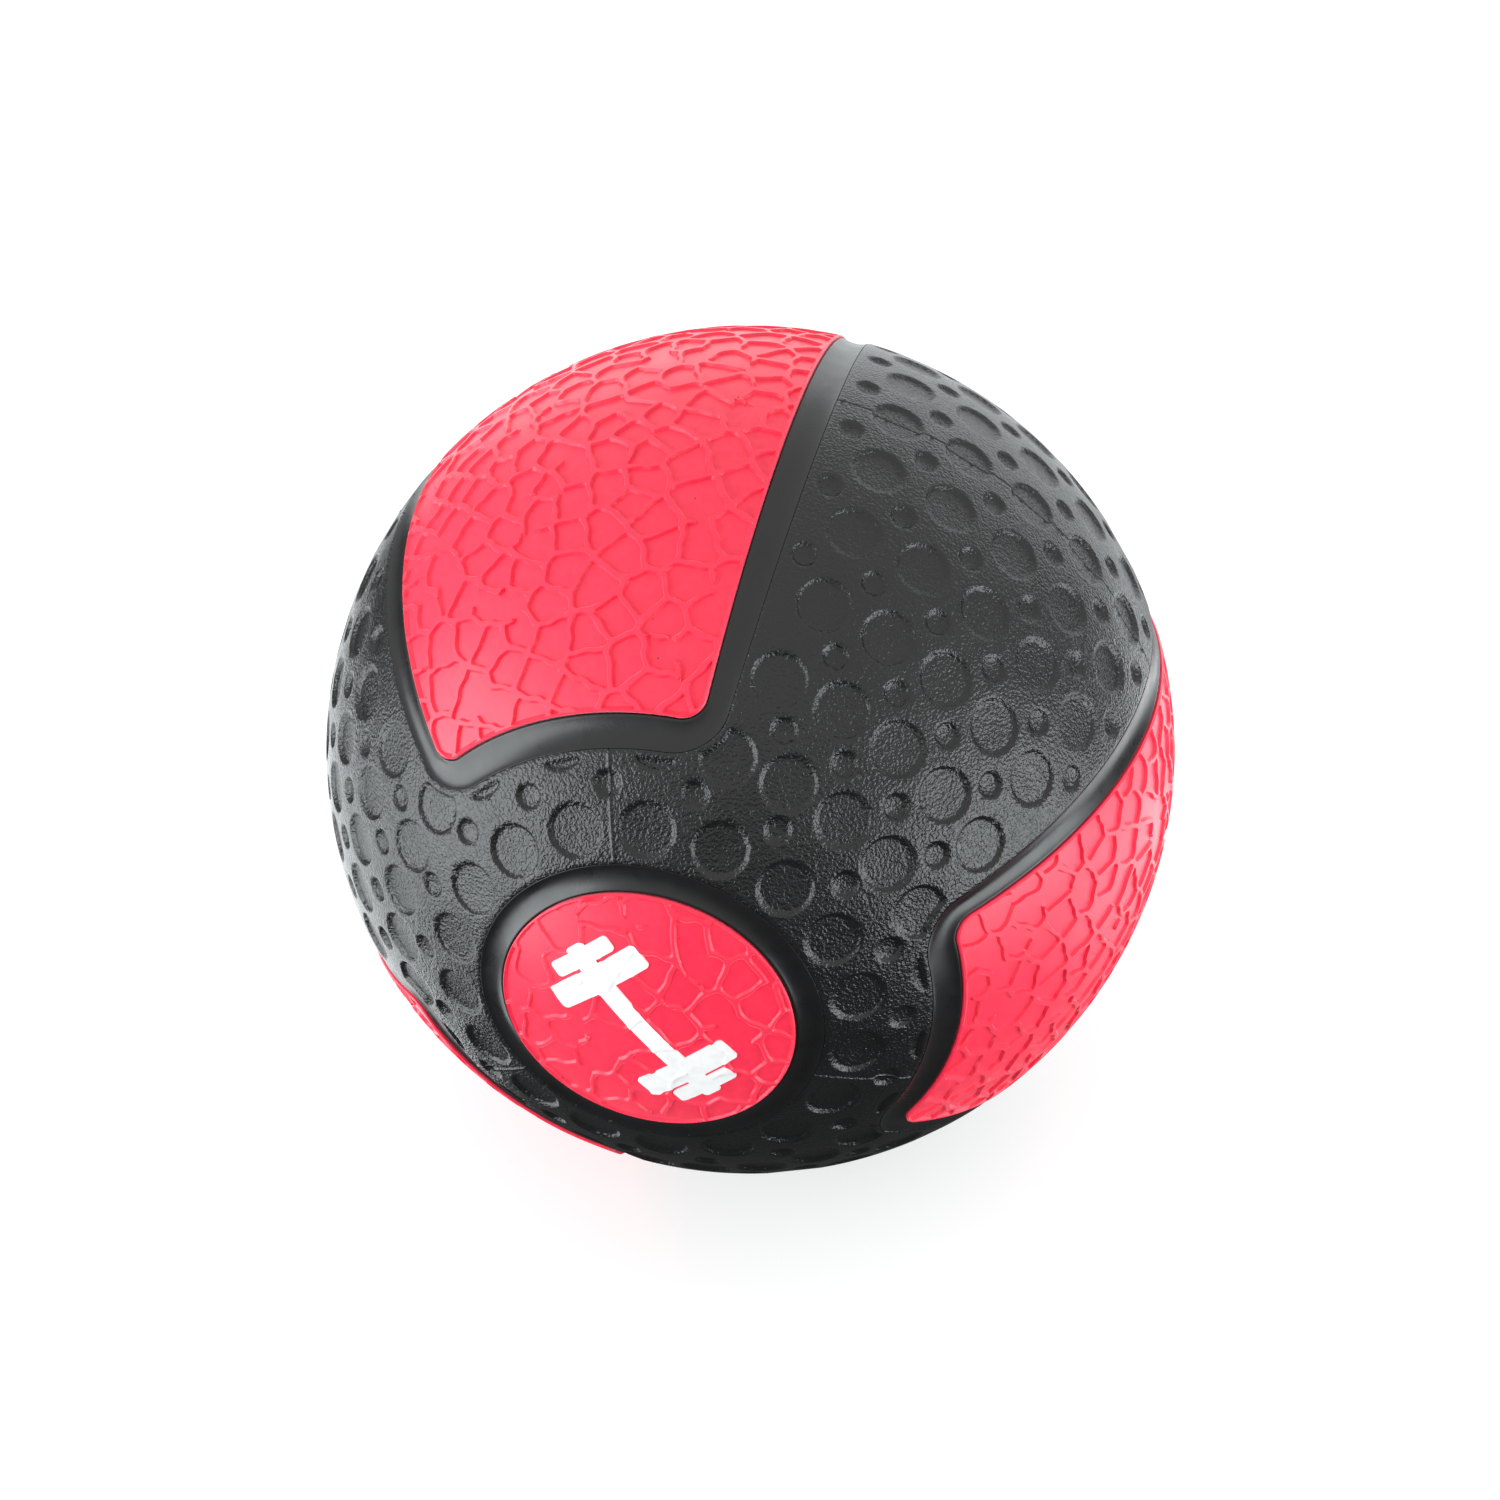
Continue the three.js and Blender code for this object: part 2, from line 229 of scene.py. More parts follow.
# Black cover rubber from a sand-blasted mould: a leathery grain, 0.75 mm across, breaks up the gloss.
def grainedBlackRubber():
    material, tree, shader = newMaterial("grainedBlackRubber", {})
    addTint(tree, shader, addNoise(tree, 18, 3), [(0.3, "#111112"), (0.7, "#161617")])
    addSheen(tree, shader, addNoise(tree, 9), 0.26, 0.32)
    addBump(tree, shader, addNoise(tree, 0.75, 1, 0.3), 0.33)
    return material


# Black rubber from the mould's polished grooves: smooth and even, with a faint ripple and dull smears.
def smoothBlackRubber():
    material, tree, shader = newMaterial("smoothBlackRubber", {})
    addTint(tree, shader, addNoise(tree, 11, 4), [(0.3, "#111112"), (0.75, "#171718")])
    addSheen(tree, shader, addNoise(tree, 6, 4, 0.6), 0.25, 0.34)
    addBump(tree, shader, addNoise(tree, 1.3, 3), 0.012)
    return material


# Pad-printed ink: a thin matt white film that takes on the rubber's texture, and is thinner in places.
def whiteInk():
    material, tree, shader = newMaterial("printedWhiteInk", {})
    addTint(tree, shader, addNoise(tree, 3, 4), [(0.3, "#e6e4e4"), (0.55, "#f0f0ef")])
    addSheen(tree, shader, addNoise(tree, 5), 0.46, 0.56)
    addBump(tree, shader, addNoise(tree, 0.9, 3), 0.02)
    return material


# Butyl rubber, extruded and vulcanised: dull charcoal with a bloom of grey talc.
def butylRubber():
    material, tree, shader = newMaterial("butylRubber", {})
    addTint(tree, shader, addNoise(tree, 4, 5), [(0.35, "#19191a"), (0.8, "#2c2c2d")])
    addSheen(tree, shader, addNoise(tree, 2.5), 0.55, 0.7)
    addBump(tree, shader, addNoise(tree, 0.8, 2), 0.04)
    return material


# Nylon yarn wound on the bladder and dipped in latex: off-white threads 0.8 mm apart.
def woundNylon():
    material, tree, shader = newMaterial("woundNylonThread", {"Roughness": 0.45})
    threadSpacing, bandsPerUnit = 0.8, 20   # a wave texture has 20 bands where other patterns have one
    place = addNode(tree, "ShaderNodeTexCoord")
    settings = {"Scale": 1 / (bandsPerUnit * threadSpacing * mm), "Distortion": 1.5, "Detail": 1.0}
    threads = addNode(tree, "ShaderNodeTexWave", settings, {"Vector": place.outputs["Object"]}).outputs["Fac"]
    addTint(tree, shader, threads, [(0.1, "#a89f8b"), (0.6, "#ded8c9")])
    addBump(tree, shader, threads, 0.25)
    return material


# Rubber filled with iron sand, which gives the ball its weight: dark, rough, with pale mineral flecks.
def weightedRubber():
    material, tree, shader = newMaterial("weightedRubber", {"Roughness": 0.75})
    addTint(tree, shader, addNoise(tree, 0.7, 2), [(0.55, "#221f1f"), (0.72, "#57504a")])
    addBump(tree, shader, addNoise(tree, 0.7, 3), 0.1)
    return material


materials = {
    "red": mouldedRedRubber(),
    "grained": grainedBlackRubber(),
    "smooth": smoothBlackRubber(),
    "ink": whiteInk(),
    "butyl": butylRubber(),
    "nylon": woundNylon(),
    "weighted": weightedRubber(),
}


# ---- helpers


def deselectAll():
    bpy.ops.object.select_all(action="DESELECT")


def getPoints(piece):
    points = np.empty(len(piece.data.vertices) * 3, np.float32)
    piece.data.vertices.foreach_get("co", points)
    return points.reshape(-1, 3).astype(np.float64)


def setPoints(piece, points):
    piece.data.vertices.foreach_set("co", points.astype(np.float32).ravel())
    piece.data.update()


def getEdges(piece):
    ends = np.empty(len(piece.data.edges) * 2, np.int32)
    piece.data.edges.foreach_get("vertices", ends)
    return ends.reshape(-1, 2)


def onBall(around, north, radius):
    a, n = np.radians(around), np.radians(north)
    flat = radius * np.cos(n)
    return np.stack([flat * np.cos(a), -radius * np.sin(n), flat * np.sin(a)], axis=-1)


# Each four-sided face folds along the diagonal whose ends are nearest in height, which keeps relief clean.
def foldAlongRelief(piece):
    mesh = piece.data
    corners = np.empty(len(mesh.loops), np.int32)
    edges = np.empty(len(mesh.loops), np.int32)
    starts = np.empty(len(mesh.polygons), np.int32)
    sizes = np.empty(len(mesh.polygons), np.int32)
    mesh.loops.foreach_get("vertex_index", corners)
    mesh.loops.foreach_get("edge_index", edges)
    mesh.polygons.foreach_get("loop_start", starts)
    mesh.polygons.foreach_get("loop_total", sizes)
    quads = starts[sizes == 4][:, None] + np.arange(4)
    radius = np.linalg.norm(getPoints(piece), axis=1)[corners[quads]]
    turn = np.abs(radius[:, 1] - radius[:, 3]) < np.abs(radius[:, 0] - radius[:, 2])
    turned = quads[turn]
    corners[turned] = np.roll(corners[turned], 1, axis=1)
    edges[turned] = np.roll(edges[turned], 1, axis=1)
    mesh.loops.foreach_set("vertex_index", corners)
    mesh.loops.foreach_set("edge_index", edges)
    mesh.update()


def finishPiece(piece, material, slotName, *nodes, sharpAngle=24, relief=False):
    deselectAll()
    piece.select_set(True)
    bpy.context.view_layer.objects.active = piece
    bpy.ops.object.mode_set(mode="EDIT")
    bpy.ops.mesh.select_all(action="SELECT")
    bpy.ops.mesh.normals_make_consistent(inside=False)
    bpy.ops.object.mode_set(mode="OBJECT")
    if relief:
        foldAlongRelief(piece)
        bpy.ops.object.mode_set(mode="EDIT")
        bpy.ops.mesh.quads_convert_to_tris(quad_method="FIXED")
        bpy.ops.object.mode_set(mode="OBJECT")
    bpy.ops.object.shade_smooth_by_angle(angle=math.radians(sharpAngle))
    piece.data.materials.clear()
    piece.data.materials.append(materials[material])
    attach(piece, "root")
    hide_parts(*nodes)


# A flat sheet of coarse cells, given thickness, whose top is then cut fine. x and y count coarse cells.
def cellSlab(name, columns, rows, keepCell, fineCuts):
    deselectAll()
    bpy.ops.mesh.primitive_grid_add(x_subdivisions=columns, y_subdivisions=rows, size=2)
    slab = bpy.context.object
    slab.name = name
    points = getPoints(slab)
    points[:, 0] = np.round((points[:, 0] + 1) / 2 * columns)
    points[:, 1] = np.round((points[:, 1] + 1) / 2 * rows)
    setPoints(slab, points)
    bpy.ops.object.mode_set(mode="EDIT")
    bpy.ops.mesh.select_all(action="DESELECT")
    bpy.ops.mesh.select_mode(type="FACE")
    edit = bmesh.from_edit_mesh(slab.data)
    for face in edit.faces:
        middle = face.calc_center_median()
        face.select_set(not keepCell(middle.x, middle.y))
    bmesh.update_edit_mesh(slab.data)
    bpy.ops.mesh.delete(type="FACE")
    bpy.ops.mesh.select_all(action="SELECT")
    bpy.ops.mesh.extrude_region_move(TRANSFORM_OT_translate={"value": (0, 0, 1)})
    if fineCuts:
        bpy.ops.mesh.subdivide(number_cuts=fineCuts, smoothness=0)
    bpy.ops.object.mode_set(mode="OBJECT")
    return slab


def cellCounts(stops, cell, shrink=1.0):
    counts = [0]
    for low, high in zip(stops, stops[1:]):
        counts.append(counts[-1] + max(1, round((high - low) * mmPerDegree * shrink / cell)))
    return counts


# The drop in mm of an edge rounded to the given radius, at a distance inside the edge.
def edgeDrop(inside, edge):
    return edge - np.sqrt(np.maximum(edge ** 2 - np.clip(edge - inside, 0, edge) ** 2, 0))


def smoothStep(t):
    t = np.clip(t, 0, 1)
    return t * t * (3 - 2 * t)


# How far a point is outside a rounded panel outline, in mm. Inside is negative.
def outsideOutline(x, y, halfWidth, halfHeight, corner):
    narrow = np.cos(np.radians(y))
    across = corner / math.cos(math.radians(halfHeight))
    overX = np.abs(x) - (halfWidth - across)
    overY = np.abs(y) - (halfHeight - corner)
    sides = np.maximum((np.abs(x) - halfWidth) * narrow, np.abs(y) - halfHeight) * mmPerDegree
    corners = (np.hypot(overX / across, overY / corner) - 1) * corner * mmPerDegree
    return np.where((overX > 0) & (overY > 0), corners, sides)


# ---- crackle relief of the red rubber

# Sizes in mm. A land is the raised strip between two cells, merge is the share of lands that die out, and
# cellReach is how far from its middle, in degrees, a panel needs cells.
crackle = {"cellSpacing": 11.0, "landHalf": 0.5, "bevel": 0.42, "depth": 0.85, "rounding": 0.3,
           "waver": 0.25, "merge": 0.12, "borderLand": 0.7, "cellReach": 62, "seed": 11}
badgeCrackle = {"cellSpacing": 12.0, "landHalf": 0.3, "bevel": 0.5, "depth": 0.6, "rounding": 0.4,
                "waver": 0.3, "merge": 0.2, "borderLand": 0.5, "cellReach": 27, "seed": 5}
scatter = {"tries": 12000, "spacingShares": [0.62, 0.8, 1.0, 1.35]}
waverTurns = [(1.1, 0.37), (1.3, 0.41), (1.2, 0.33)]   # radians per mm, fast and slow, along x, y and z
fading = {"lift": 2.5, "along": (0.31, 0.37, 0.29), "cellShift": 1.7, "contrast": 2.2}
nearestCells = 6
pointsAtOnce = 20000
wallDrawing = {"firstStep": 0.8, "reach": 0.4, "leastSlope": 0.6, "borderMargin": 0.2}


# Cell middles scattered no closer together than the spacing allows.
def scatterCells(centre, settings, seed):
    dice = random.Random(seed)
    axis = Vector(centre).normalized()
    side = axis.orthogonal().normalized()
    other = axis.cross(side)
    middles = []
    capHeight = 1 - math.cos(math.radians(settings["cellReach"]))
    for attempt in range(scatter["tries"]):
        tilt = math.acos(1 - dice.random() * capHeight)
        turn = dice.uniform(0, 2 * math.pi)
        point = axis * math.cos(tilt) + (side * math.cos(turn) + other * math.sin(turn)) * math.sin(tilt)
        gap = settings["cellSpacing"] * dice.choice(scatter["spacingShares"]) / ballRadius
        if all((point - m).length > gap for m in middles):
            middles.append(point)
    return np.array(middles)


# A fixed draw from 0 to 1 for each pair of neighbouring cells, by the usual sine hash.
def pairDraw(low, high):
    return np.modf(np.abs(np.sin(low * 12.9898 + high * 78.233)) * 43758.5453)[0]


# How far each point lies inside its own cell, past the middle line of the nearest land, and the way inwards.
def crackleField(directions, middles, settings):
    place = directions * ballRadius
    place = place + settings["waver"] * np.stack([
        np.sin(place[:, (axis + 1) % 3] * fast + 2.0 * np.sin(place[:, (axis + 2) % 3] * slow))
        for axis, (fast, slow) in enumerate(waverTurns)], axis=-1)
    seeds = middles * ballRadius
    depthIn = np.empty(len(place))
    inwards = np.empty_like(place)
    for start in range(0, len(place), pointsAtOnce):
        part = place[start:start + pointsAtOnce]
        gaps = (part ** 2).sum(axis=1)[:, None] - 2 * part @ seeds.T + (seeds ** 2).sum(axis=1)[None, :]
        near = np.argpartition(gaps, nearestCells, axis=1)[:, :nearestCells]
        nearGaps = np.take_along_axis(gaps, near, axis=1)
        order = np.argsort(nearGaps, axis=1)
        near = np.take_along_axis(near, order, axis=1)
        nearGaps = np.take_along_axis(nearGaps, order, axis=1)
        away = seeds[near[:, :1]] - seeds[near[:, 1:]]
        length = np.linalg.norm(away, axis=2)
        edge = (nearGaps[:, 1:] - nearGaps[:, :1]) / (2 * length)
        # some lands die out, wholly or for part of their length
        low, high = np.minimum(near[:, :1], near[:, 1:]), np.maximum(near[:, :1], near[:, 1:])
        fade = 0.5 + 0.5 * np.sin(part @ np.array(fading["along"]) + low[:, 0] * fading["cellShift"])
        lift = np.where(pairDraw(low, high) < settings["merge"], fading["lift"], 0)
        edge = edge + lift * smoothStep(fade[:, None] * fading["contrast"])
        weight = np.exp(-edge / settings["rounding"])
        total = weight.sum(axis=1)
        depthIn[start:start + pointsAtOnce] = -np.log(total) * settings["rounding"]
        pull = (weight / total[:, None] / length)[:, :, None] * away
        inwards[start:start + pointsAtOnce] = pull.sum(axis=1)
    return depthIn, inwards


def crackleHeight(depthIn, settings):
    return -settings["depth"] * np.clip((depthIn - settings["landHalf"]) / settings["bevel"], 0, 1)


# Every mesh edge that crosses a cell's wall has its ends drawn onto the wall's top and foot, which leaves
# both of them clean lines.
def crackled(piece, directions, middles, settings, inside):
    depthIn, inwards = crackleField(directions, middles, settings)
    top, foot = settings["landHalf"], settings["landHalf"] + settings["bevel"]
    sunk = depthIn > (top + foot) / 2
    level = np.where(sunk, foot, top)
    ends = getEdges(piece)
    near = np.unique(ends[sunk[ends[:, 0]] != sunk[ends[:, 1]]])
    near = near[inside[near] > settings["borderLand"] + wallDrawing["borderMargin"]]
    for share in (wallDrawing["firstStep"], 1):
        miss = np.clip(level[near] - depthIn[near], -wallDrawing["reach"], wallDrawing["reach"])
        slope = np.maximum((inwards[near] ** 2).sum(axis=1), wallDrawing["leastSlope"])
        directions[near] += inwards[near] * (miss / slope * share)[:, None] / ballRadius
        directions[near] /= np.linalg.norm(directions[near], axis=1)[:, None]
        depthIn[near], inwards[near] = crackleField(directions[near], middles, settings)
    depthIn = np.minimum(depthIn, inside - settings["borderLand"] + settings["landHalf"])
    return directions, crackleHeight(depthIn, settings)


# ---- red panels

# Sizes in mm. The top stands proud of the ball's smooth surface, and the bottom lies below it.
redPanel = {"coarseCell": 2.0, "proud": 0.3, "fineCuts": 3, "edgeRound": 0.3, "bottom": 2.0}


def buildRedPanel(index):
    around = layout["panelAround"][index]
    halfWidth, halfHeight = layout["panelHalfWidth"], layout["panelHalfHeight"]
    corner = layout["panelCorner"]
    across = corner / math.cos(math.radians(halfHeight))
    xStops = [-halfWidth, -halfWidth + across, halfWidth - across, halfWidth]
    yStops = [-halfHeight, -halfHeight + corner, halfHeight - corner, halfHeight]
    xCounts = cellCounts(xStops, redPanel["coarseCell"])
    yCounts = cellCounts(yStops, redPanel["coarseCell"])
    panel = cellSlab(f"crackled_panel_{places[index]}", xCounts[-1], yCounts[-1],
                     lambda x, y: True, redPanel["fineCuts"])
    points = getPoints(panel)
    x = np.interp(points[:, 0], xCounts, xStops)
    y = np.interp(points[:, 1], yCounts, yStops)
    top = points[:, 2] > 0.5
    # the square corners are pulled in to a round
    intoX = (np.abs(x) - (halfWidth - across)) / across
    intoY = (np.abs(y) - (halfHeight - corner)) / corner
    inCorner = (intoX > 0) & (intoY > 0)
    pull = np.where(inCorner, np.maximum(intoX, intoY) / np.maximum(np.hypot(intoX, intoY), 1e-9), 1)
    x = np.where(inCorner, np.sign(x) * (halfWidth - across + across * intoX * pull), x)
    y = np.where(inCorner, np.sign(y) * (halfHeight - corner + corner * intoY * pull), y)
    inside = -outsideOutline(x, y, halfWidth, halfHeight, corner)
    directions = onBall(around + x, y, 1)
    middles = scatterCells(onBall(around, 0, 1), crackle, crackle["seed"] + index)
    directions, height = crackled(panel, directions, middles, crackle, inside)
    face = ballRadius + redPanel["proud"] + height - edgeDrop(inside, redPanel["edgeRound"])
    radius = np.where(top, face, ballRadius - redPanel["bottom"])
    setPoints(panel, directions * radius[:, None] * mm)
    finishPiece(panel, "red", "red_rubber", f"red_panel_{places[index]}", relief=True)
    print(panel.name, len(panel.data.polygons))


# ---- black panels

# Half the angle between two panels. A black lobe's middle lies this far from the red panels on its sides.
lobeStep = 180 / len(places)
# Rows of dimples run round the ball, on both sides of the parting line, with big dimples in the whole rows
# and small ones between. Offsets are degrees either way from a lobe's middle.
dimpleRows = [
    *({"row": row, "offsets": [0, 10, 20]} for row in range(4)),
    {"row": 4, "offsets": [0, 11, 22]},
    {"row": 5, "offsets": [0, 12.9, 25.8, 40, 60]},
    {"row": 6, "offsets": [0, 20, 40, 60]},
    *({"row": row + 0.5, "offsets": [5, 15, 25]} for row in range(3)),
    {"row": 3.5, "offsets": [5, 15.5]},
    {"row": 4.5, "offsets": [6, 18]},
    {"row": 5.5, "offsets": [10, 30, 50]},
]
# Sizes in mm, but the pitch is in degrees. Near a channel a dimple is cut off, a land away, by a slope.
dimple = {"rowPitch": 10.55, "bigRadius": 7.1, "smallRadius": 3.6, "bigWall": 1.1, "smallWall": 1.2,
          "depth": 0.9, "straightShare": 0.55, "bowl": 0.25, "land": 1.3, "landSlope": 1.3,
          "drawMargin": 0.4, "reach": 1}
# Sizes in mm, but seamBand and partingHalf are in degrees.
blackPanel = {"coarseCell": 2.7, "fineCuts": 3, "edgeRound": 0.25, "bottom": 2.0, "cornerFade": 1.6,
              "seamGap": 0.04, "seamBand": 0.2, "seamRidge": 0.24, "seamWidth": 0.28,
              "partingHalf": 0.3, "partingDepth": 0.2, "partingWidth": 0.16,
              "flashHeight": 0.4, "flashWidth": 0.14, "flashFrom": 0.9, "flashWaves": [3.1, 7.3, 17.9]}


# The valve takes the place of one big dimple on the rear half, and its axis points out of the ball.
valve = {"panel": "left", "row": 4, "stem": 6.0, "clearance": 0.3, "stemDrop": 0.6, "plug": 3.4,
         "plugDrop": 0.9, "needle": 0.9, "needleStop": 2, "depth": 12.0, "bevel": 0.35, "facets": 64}
valveAround = layout["panelAround"][0] + lobeStep
valveNorth = -valve["row"] * dimple["rowPitch"]


def valveTurn():
    out = Vector(onBall(valveAround, valveNorth, 1))
    return out, out.to_track_quat("Z", "Y").to_matrix()


# A round bore for the valve's stem goes right through the cover.
def cutValveHole(panel):
    out, turn = valveTurn()
    deselectAll()
    bpy.ops.mesh.primitive_cylinder_add(
        vertices=valve["facets"], radius=(valve["stem"] + valve["clearance"]) * mm, depth=valve["depth"] * mm,
        location=out * ballRadius * mm, rotation=turn.to_euler())
    drill = bpy.context.object
    cut = panel.modifiers.new("valveHole", "BOOLEAN")
    cut.operation = "DIFFERENCE"
    cut.solver = "EXACT"
    cut.object = drill
    bpy.context.view_layer.objects.active = panel
    bpy.ops.object.modifier_apply(modifier="valveHole")
    bpy.data.objects.remove(drill)


# Every dimple's place, and whether it is a big one. Lobes share some, which are listed once.
def dimplePlaces():
    spots = []
    for lobe in (around - lobeStep for around in layout["panelAround"]):
        for line in dimpleRows:
            isBig = float(line["row"]).is_integer()
            for side in (1, -1):
                north = side * line["row"] * dimple["rowPitch"]
                for offset in line["offsets"]:
                    for hand in (1, -1):
                        around = lobe + hand * offset
                        atValve = abs(around - valveAround) + abs(north - valveNorth) < 1
                        if not atValve:
                            spots.append((around, north, isBig))
    return sorted(set(spots))


def dimpleSize(isBig):
    return (dimple["bigRadius"], dimple["bigWall"]) if isBig else (dimple["smallRadius"], dimple["smallWall"])


def dimpleHeight(directions, rimInside):
    height = np.zeros(len(directions))
    straight = dimple["straightShare"]
    for around, north, isBig in dimplePlaces():
        middle = onBall(around, north, 1)
        gap = np.arccos(np.clip(directions @ middle, -1, 1)) * ballRadius
        radius, wall = dimpleSize(isBig)
        near = gap < radius
        inside = np.minimum(radius - gap[near], (rimInside[near] - dimple["land"]) * dimple["landSlope"])
        share = np.clip(inside / wall, 0, 1)
        drop = dimple["depth"] * (straight * share + (1 - straight) * smoothStep(share))
        drop += dimple["bowl"] * smoothStep(inside / radius)
        height[near] = np.minimum(height[near], -drop)
    return height


# Where a mesh edge crosses a dimple's rim or foot, its nearer end is drawn onto it, so that both come out as
# clean circles.
def drawToRims(panel, directions, inside):
    moved = directions.copy()
    edges = getEdges(panel)
    for around, north, isBig in dimplePlaces():
        middle = onBall(around, north, 1)
        cosine = directions @ middle
        radius, wall = dimpleSize(isBig)
        near = cosine > math.cos((radius + dimple["reach"]) / ballRadius)
        near &= inside > dimple["land"] + dimple["drawMargin"]
        if not near.any():
            continue
        local = edges[near[edges].all(axis=1)]
        gap = np.arccos(np.clip(cosine, -1, 1)) * ballRadius
        aim = gap.copy()
        for level in (radius, radius - wall):
            crossing = local[(gap[local[:, 0]] > level) != (gap[local[:, 1]] > level)]
            nearer = np.argmin(np.abs(gap[crossing] - level), axis=1)
            aim[crossing[np.arange(len(crossing)), nearer]] = level
        drawn = np.nonzero(aim != gap)[0]
        side = directions[drawn] - cosine[drawn, None] * middle
        side /= np.maximum(np.linalg.norm(side, axis=1), 1e-9)[:, None]
        turn = aim[drawn] / ballRadius
        moved[drawn] = middle * np.cos(turn)[:, None] + side * np.sin(turn)[:, None]
    return moved


# The square notches are pulled onto the channels' round corners, less and less away from each corner.
def roundNotches(x, y, web, openingHeight):
    corner = layout["channelCorner"]
    across = corner / math.cos(math.radians(openingHeight))
    for hand in (1, -1):
        for side in (1, -1):
            fromX = hand * x - (web + across)
            fromY = side * y - (openingHeight - corner)
            over = np.maximum(-fromX / across, fromY / corner)
            length = np.maximum(np.hypot(fromX / across, fromY / corner), 1e-9)
            near = (fromX < 0) & (fromY > 0) & (over >= 0.999)
            square = length / np.maximum(over, 1e-9)
            fade = np.clip(1 - (over - 1) / blackPanel["cornerFade"], 0, 1)
            pull = np.where(near, 1 - (square - 1) * fade / length, 1)
            x = np.where(near, hand * (web + across + fromX * pull), x)
            y = np.where(near, side * (openingHeight - corner + fromY * pull), y)
    return x, y


# The mould's parting line: a fine crease, with ragged flash beside it.
def partingHeight(around, north):
    across = north * mmPerDegree
    crease = np.exp(-(across / blackPanel["partingWidth"]) ** 2)
    ragged = sum(np.sin(around * wave + shift) for shift, wave in enumerate(blackPanel["flashWaves"]))
    flashWidth = blackPanel["flashWidth"]
    flash = np.exp(-((across - 2 * flashWidth) / flashWidth) ** 2)
    flash *= np.clip(ragged - blackPanel["flashFrom"], 0, 1)
    return blackPanel["flashHeight"] * flash - blackPanel["partingDepth"] * crease


def buildBlackPanel(index):
    lobe = layout["panelAround"][index] + lobeStep
    west = -lobeStep + layout["seamOffset"]
    east = lobeStep + layout["seamOffset"]
    seamTrim = blackPanel["seamGap"] / 2 / mmPerDegree
    opening = layout["panelHalfWidth"] + layout["channelWidth"]
    openingHeight = layout["panelHalfHeight"] + layout["channelWidth"]
    corner = layout["channelCorner"]
    web = lobeStep - opening
    reach = 90 - layout["badgeHalfAngle"] - layout["ringWidth"]
    parting = blackPanel["partingHalf"]
    band = blackPanel["seamBand"]
    xStops = [west, west + band, -web, web, east - band, east]
    yStops = [-reach, -openingHeight, -parting, parting, openingHeight, reach]
    xCounts = cellCounts(xStops, blackPanel["coarseCell"])
    yCounts = cellCounts(yStops, blackPanel["coarseCell"])

    def keepCell(x, y):
        inWeb = xCounts[2] < x < xCounts[3]
        inBand = yCounts[1] < y < yCounts[4]
        return inWeb or not inBand

    panel = cellSlab(f"dimpled_panel_{blackPlaces[index]}", xCounts[-1], yCounts[-1], keepCell,
                     blackPanel["fineCuts"])
    points = getPoints(panel)
    x = np.interp(points[:, 0], xCounts, xStops)
    y = np.interp(points[:, 1], yCounts, yStops)
    top = points[:, 2] > 0.5
    x, y = roundNotches(x, y, web, openingHeight)
    rimInside = np.minimum(
        np.minimum(
            outsideOutline(x - lobeStep, y, opening, openingHeight, corner),
            outsideOutline(x + lobeStep, y, opening, openingHeight, corner)),
        (reach - np.abs(y)) * mmPerDegree)
    narrow = np.cos(np.radians(y))
    seamInside = np.minimum(x - west, east - x) * narrow * mmPerDegree
    # the seams are drawn in by half their gap
    x = np.clip(x, west + seamTrim / narrow, east - seamTrim / narrow)
    directions = onBall(lobe + x, y, 1)
    directions = drawToRims(panel, directions, np.minimum(rimInside, seamInside))
    height = dimpleHeight(directions, rimInside)
    ridge = np.exp(-(seamInside / blackPanel["seamWidth"]) ** 2) * smoothStep(rimInside)
    height += blackPanel["seamRidge"] * ridge + partingHeight(lobe + x, y)
    height -= edgeDrop(rimInside, blackPanel["edgeRound"])
    radius = np.where(top, ballRadius + height, ballRadius - blackPanel["bottom"])
    setPoints(panel, directions * radius[:, None] * mm)
    if blackPlaces[index] == valve["panel"]:
        cutValveHole(panel)
    finishPiece(panel, "grained", "grained_black_rubber", f"black_panel_{blackPlaces[index]}",
                sharpAngle=60, relief=True)
    print(panel.name, len(panel.data.polygons))


# A turned part round the valve's axis: its profile is [mm from the axis, mm below the ball's surface].
def buildTurned(name, profile, material, slotName, node):
    out, turn = valveTurn()
    deselectAll()
    bpy.ops.mesh.primitive_circle_add(vertices=len(profile), radius=1)
    part = bpy.context.object
    part.name = name
    setPoints(part, np.array([(across * mm, 0, (ballRadius - drop) * mm) for across, drop in profile]))
    bpy.ops.object.mode_set(mode="EDIT")
    bpy.ops.mesh.select_all(action="SELECT")
    bpy.ops.mesh.spin(steps=valve["facets"], angle=2 * math.pi, center=(0, 0, 0), axis=(0, 0, 1))
    bpy.ops.mesh.select_all(action="SELECT")
    bpy.ops.mesh.remove_doubles(threshold=0.000001)
    bpy.ops.object.mode_set(mode="OBJECT")
    setPoints(part, getPoints(part) @ np.array(turn).T)
    finishPiece(part, material, slotName, node)


# A turned part's top, from its outer edge to its hole's edge, with both edges rounded.
def roundedTop(outer, inner, drop):
    bevel, corner = valve["bevel"], 0.3 * valve["bevel"]
    return [(outer, drop + bevel), (outer - corner, drop + corner), (outer - bevel, drop),
            (inner + bevel, drop), (inner + corner, drop + corner), (inner, drop + bevel)]


